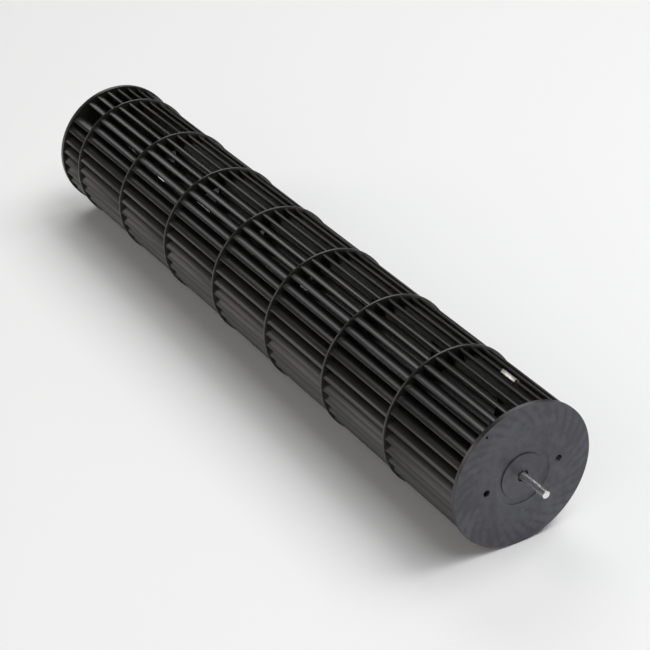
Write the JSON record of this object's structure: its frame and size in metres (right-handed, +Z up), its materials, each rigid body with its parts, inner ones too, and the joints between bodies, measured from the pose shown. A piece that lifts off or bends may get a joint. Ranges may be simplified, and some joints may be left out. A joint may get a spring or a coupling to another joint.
{
  "type": "cross flow fan rotor",
  "caption": "Long bladed drum that blows the air in a wall-mounted air conditioner: curved blades between rings, a bearing shaft at one end and a motor hub at the other.",
  "frame": {"origin": "centre of the motor bore's mouth, on the outer face of the motor end disc", "axes": "+X along the spin axis, out of the bearing shaft; +Z up as the drum lies or hangs in its casing"},
  "size_m": [0.5458, 0.096, 0.096],
  "materials": {
    "fan_plastic": "black glass-filled plastic, satin, with faint flow marks",
    "shaft_steel": "ground and polished",
    "boss_metal": "turned",
    "screw_steel": "black oxide",
    "clip_steel": "zinc plated spring steel"
  },
  "bodies": {
    "root": {"motor_end_block": "fan_plastic", "motor_boss": "boss_metal", "set_screw": "screw_steel", "fan_block_1": "fan_plastic", "fan_block_2": "fan_plastic", "fan_block_3": "fan_plastic", "fan_block_4": "fan_plastic", "fan_block_5": "fan_plastic", "fan_block_6": "fan_plastic", "fan_block_7": "fan_plastic", "shaft_end_plate": "fan_plastic", "bearing_shaft": "shaft_steel", "balance_clip": "clip_steel"}
  },
  "joints": []
}
